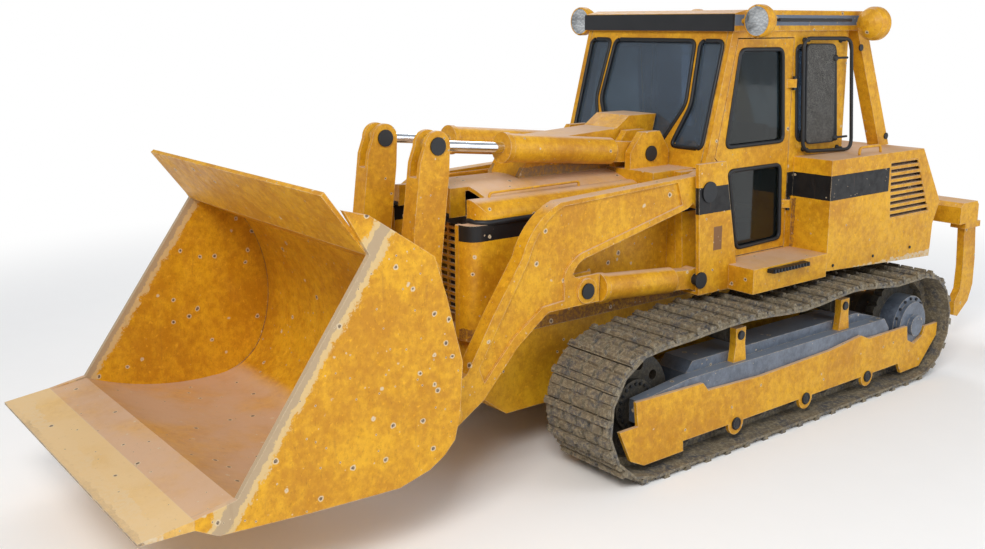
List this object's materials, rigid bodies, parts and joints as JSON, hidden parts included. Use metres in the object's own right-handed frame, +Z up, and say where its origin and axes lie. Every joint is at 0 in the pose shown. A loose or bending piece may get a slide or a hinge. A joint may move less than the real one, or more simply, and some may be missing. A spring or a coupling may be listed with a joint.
{
  "type": "crawler loader with ripper",
  "caption": "Worn yellow crawler loader on tracks, with a bucket on lift arms and tilt levers, a cab with hinged doors, side boxes, work lamps and a rear ripper.",
  "frame": {"origin": "on the ground, midway between the bucket's tip and the back of the ripper, on the machine's centre line", "axes": "+Z up; -Y is the front, where the bucket is; +X is the machine's left side"},
  "size_m": [2.856, 8.84, 3.378],
  "materials": {
    "yellow_paint": "satin",
    "blue_grey_paint": "gloss",
    "track_steel": "rough",
    "bare_steel": "worn",
    "black_paint": "satin",
    "chrome_rod": "polished",
    "engine_iron": "rough",
    "tinted_glass": "gloss",
    "lamp_glass": "gloss",
    "seat_fabric": "matte",
    "dark_plastic": "matte"
  },
  "bodies": {
    "machine": {"arm_towers": "yellow_paint", "cab_ceiling": "yellow_paint", "cab_floor": "yellow_paint", "cab_front_wall": "yellow_paint", "cab_glass": "tinted_glass", "cab_interior": "dark_plastic", "cab_rear_wall": "yellow_paint", "cab_roof": "yellow_paint", "cab_side_walls": "yellow_paint", "cowl": "yellow_paint", "door_hinges": "black_paint", "engine_block": "engine_iron", "final_drives": "blue_grey_paint", "hand_rails": "black_paint", "hood_body": "yellow_paint", "hood_lid": "yellow_paint", "lamp_lenses": "lamp_glass", "main_frame": "yellow_paint", "pivot_pins": "black_paint", "radiator_grille": "black_paint", "rear_body": "yellow_paint", "ripper_mount": "yellow_paint", "roller_guards": "yellow_paint", "roof_visor": "black_paint", "running_gear": "track_steel", "seat_back": "seat_fabric", "seat_cushion": "seat_fabric", "side_boxes": "yellow_paint", "side_steps": "yellow_paint", "step_treads": "black_paint", "tilt_brackets": "yellow_paint", "track_frames": "blue_grey_paint", "track_left": "track_steel", "track_right": "track_steel", "window_guards": "black_paint", "work_lamps": "yellow_paint"},
    "door_left": {"door_left": "yellow_paint", "door_glass_left": "tinted_glass"},
    "door_right": {"door_right": "yellow_paint", "door_glass_right": "tinted_glass"},
    "lift_arms": {"lift_arms": "yellow_paint", "arm_cross_tube": "yellow_paint", "lever_cheeks": "yellow_paint", "arm_pins": "black_paint"},
    "lift_barrels": {"lift_barrels": "yellow_paint"},
    "lift_rods": {"lift_rods": "chrome_rod"},
    "tilt_levers": {"tilt_levers": "yellow_paint", "lever_pins": "black_paint"},
    "tilt_links": {"tilt_links": "yellow_paint"},
    "tilt_barrels": {"tilt_barrels": "yellow_paint"},
    "tilt_rods": {"tilt_rods": "chrome_rod"},
    "bucket": {"bucket_shell": "yellow_paint", "bucket_ears": "yellow_paint", "bucket_sides": "yellow_paint", "spill_guard": "yellow_paint", "cutting_edge": "bare_steel"},
    "ripper": {"ripper_beam": "yellow_paint", "ripper_shanks": "yellow_paint"},
    "ripper_barrels": {"ripper_barrels": "yellow_paint"},
    "ripper_rods": {"ripper_rods": "chrome_rod"}
  },
  "joints": [
    {"name": "lift", "type": "hinge", "parent": "machine", "child": "lift_arms", "pos_m": [0, 0.267, 1.946], "axis": [-1, 0, 0], "range_deg": [0, 60]},
    {"name": "bucket_tilt", "type": "hinge", "parent": "lift_arms", "child": "bucket", "pos_m": [0, -2.24, 0.7], "axis": [-1, 0, 0], "range_deg": [-42, 15]},
    {"name": "lift_cylinder_swing", "type": "hinge", "parent": "machine", "child": "lift_barrels", "pos_m": [0, 0.2, 1.25], "axis": [-1, 0, 0], "range_deg": [0, 50.7]},
    {"name": "lift_cylinder_stroke", "type": "slide", "parent": "lift_barrels", "child": "lift_rods", "axis": [0, -0.9968, 0.0802], "range_m": [0, 0.66498]},
    {"name": "lever_swing", "type": "hinge", "parent": "lift_arms", "child": "tilt_levers", "pos_m": [0, -2.02, 1.55], "axis": [-1, 0, 0], "range_deg": [-7.5, 21]},
    {"name": "link_swing", "type": "hinge", "parent": "tilt_levers", "child": "tilt_links", "pos_m": [0, -1.92, 1.08], "axis": [-1, 0, 0], "range_deg": [-25.2, 9]},
    {"name": "tilt_cylinder_swing", "type": "hinge", "parent": "machine", "child": "tilt_barrels", "pos_m": [0, 0.13, 2.21], "axis": [-1, 0, 0], "range_deg": [0, 67.2]},
    {"name": "tilt_cylinder_stroke", "type": "slide", "parent": "tilt_barrels", "child": "tilt_rods", "axis": [0, -0.9953, 0.0969], "range_m": [-0.31155, 0.11127]},
    {"name": "ripper_lift", "type": "hinge", "parent": "machine", "child": "ripper", "pos_m": [0, 3.23, 0.85], "axis": [-1, 0, 0], "range_deg": [0, 28]},
    {"name": "ripper_cylinder_swing", "type": "hinge", "parent": "machine", "child": "ripper_barrels", "pos_m": [0, 3.235, 1.64], "axis": [-1, 0, 0], "range_deg": [0, 21.56]},
    {"name": "ripper_cylinder_stroke", "type": "slide", "parent": "ripper_barrels", "child": "ripper_rods", "axis": [0, 0.9908, -0.1354], "range_m": [0, 0.36897]},
    {"name": "door_left_swing", "type": "hinge", "parent": "machine", "child": "door_left", "pos_m": [0.846, 1.423, 0], "axis": [0, 0, 1], "range_deg": [0, 80]},
    {"name": "door_right_swing", "type": "hinge", "parent": "machine", "child": "door_right", "pos_m": [-0.846, 1.423, 0], "axis": [0, 0, -1], "range_deg": [0, 80]}
  ],
  "couplings": [
    {"joint": "lift_cylinder_swing", "follows": "lift", "ratio": 0.845},
    {"joint": "lift_cylinder_stroke", "follows": "lift", "m_per_rad": 0.635},
    {"joint": "tilt_cylinder_swing", "follows": "lift", "ratio": 1.12},
    {"joint": "lever_swing", "follows": "bucket_tilt", "ratio": -0.5},
    {"joint": "link_swing", "follows": "bucket_tilt", "ratio": 0.6},
    {"joint": "tilt_cylinder_stroke", "follows": "bucket_tilt", "m_per_rad": 0.425},
    {"joint": "ripper_cylinder_swing", "follows": "ripper_lift", "ratio": 0.77},
    {"joint": "ripper_cylinder_stroke", "follows": "ripper_lift", "m_per_rad": 0.755}
  ]
}
